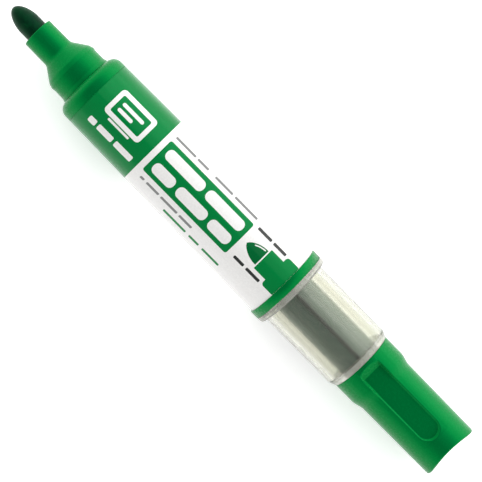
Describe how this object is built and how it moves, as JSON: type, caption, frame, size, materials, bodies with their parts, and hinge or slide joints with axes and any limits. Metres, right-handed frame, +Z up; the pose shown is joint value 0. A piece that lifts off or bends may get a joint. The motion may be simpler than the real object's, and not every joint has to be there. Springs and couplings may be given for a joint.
{
  "type": "whiteboard marker",
  "caption": "Uncapped refillable whiteboard marker: bullet nib, stepped nose, tapered printed barrel, clear window sleeve round a slim ink tank, and a tail grip with thumb flats.",
  "frame": {"origin": "on the surface that the marker lies on, under the middle of its length and its axis", "axes": "+X along the axis from the nib to the tail, +Z up from the surface, through the front of the printed film; the nib points to -X"},
  "size_m": [0.1264, 0.0178, 0.0178],
  "materials": {
    "green_plastic": "moulded, semi-gloss",
    "printed_film": "printed film, gloss",
    "clear_plastic": "clear, polished",
    "tank_plastic": "translucent, inked inside",
    "natural_plastic": "unpigmented, satin",
    "inked_fibre": "bonded fibre soaked in ink",
    "seal_rubber": "moulded, matt",
    "ball_steel": "polished"
  },
  "bodies": {
    "barrel": {"barrel": "green_plastic", "label": "printed_film", "nose_cone": "green_plastic", "collector": "natural_plastic", "relay_core": "inked_fibre", "feed_connector": "natural_plastic", "pipe_seal": "seal_rubber"},
    "nib": {"nib": "inked_fibre"},
    "tank": {"ink_tank": "tank_plastic", "mouth_bush": "natural_plastic", "tank_plug": "natural_plastic"},
    "ball": {"mixing_ball": "ball_steel"},
    "grip": {"window_sleeve": "clear_plastic", "tail_grip": "green_plastic"}
  },
  "joints": [
    {"name": "nib_pull", "type": "slide", "parent": "barrel", "child": "nib", "axis": [-1, 0, 0], "range_m": [0, 0.018]},
    {"name": "cartridge_slide", "type": "slide", "parent": "barrel", "child": "tank", "axis": [1, 0, 0], "range_m": [0, 0.0056]},
    {"name": "grip_turn", "type": "hinge", "parent": "tank", "child": "grip", "pos_m": [0, 0, 0.0089], "axis": [1, 0, 0], "range_deg": [0, 792]},
    {"name": "ball_roll", "type": "slide", "parent": "tank", "child": "ball", "axis": [1, 0, 0], "range_m": [0, 0.0354]}
  ],
  "couplings": [
    {"joint": "cartridge_slide", "follows": "grip_turn", "m_per_rad": 0.00039789}
  ]
}
